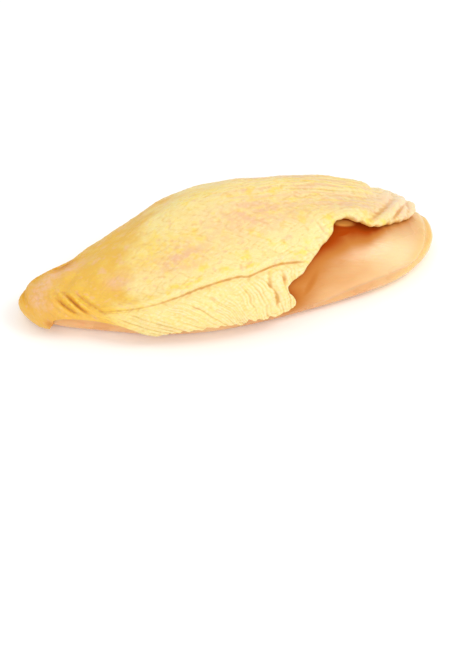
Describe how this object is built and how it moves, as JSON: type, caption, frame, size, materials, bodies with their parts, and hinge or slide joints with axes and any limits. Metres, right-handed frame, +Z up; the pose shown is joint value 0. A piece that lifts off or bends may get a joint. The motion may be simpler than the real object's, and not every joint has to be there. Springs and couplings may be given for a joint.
{
  "type": "raw chicken breast",
  "caption": "Raw boneless chicken breast lying skin side up, its loose yellow skin gathered along the front and drawn off the meat at the thick end.",
  "frame": {"origin": "centre of the bounding box at its bottom, on the surface the breast lies on", "axes": "+X along the breast from its pointed end to its thick end, +Y across it from the gathered edge of the skin to the back, +Z up"},
  "size_m": [0.1751, 0.0741, 0.0357],
  "materials": {
    "meat": "wet, slightly translucent, fine grain along the meat",
    "skin": "moist satin with goose pimples, fat showing through in yellow patches"
  },
  "bodies": {
    "root": {"meat": "meat", "skin": "skin"}
  },
  "joints": []
}
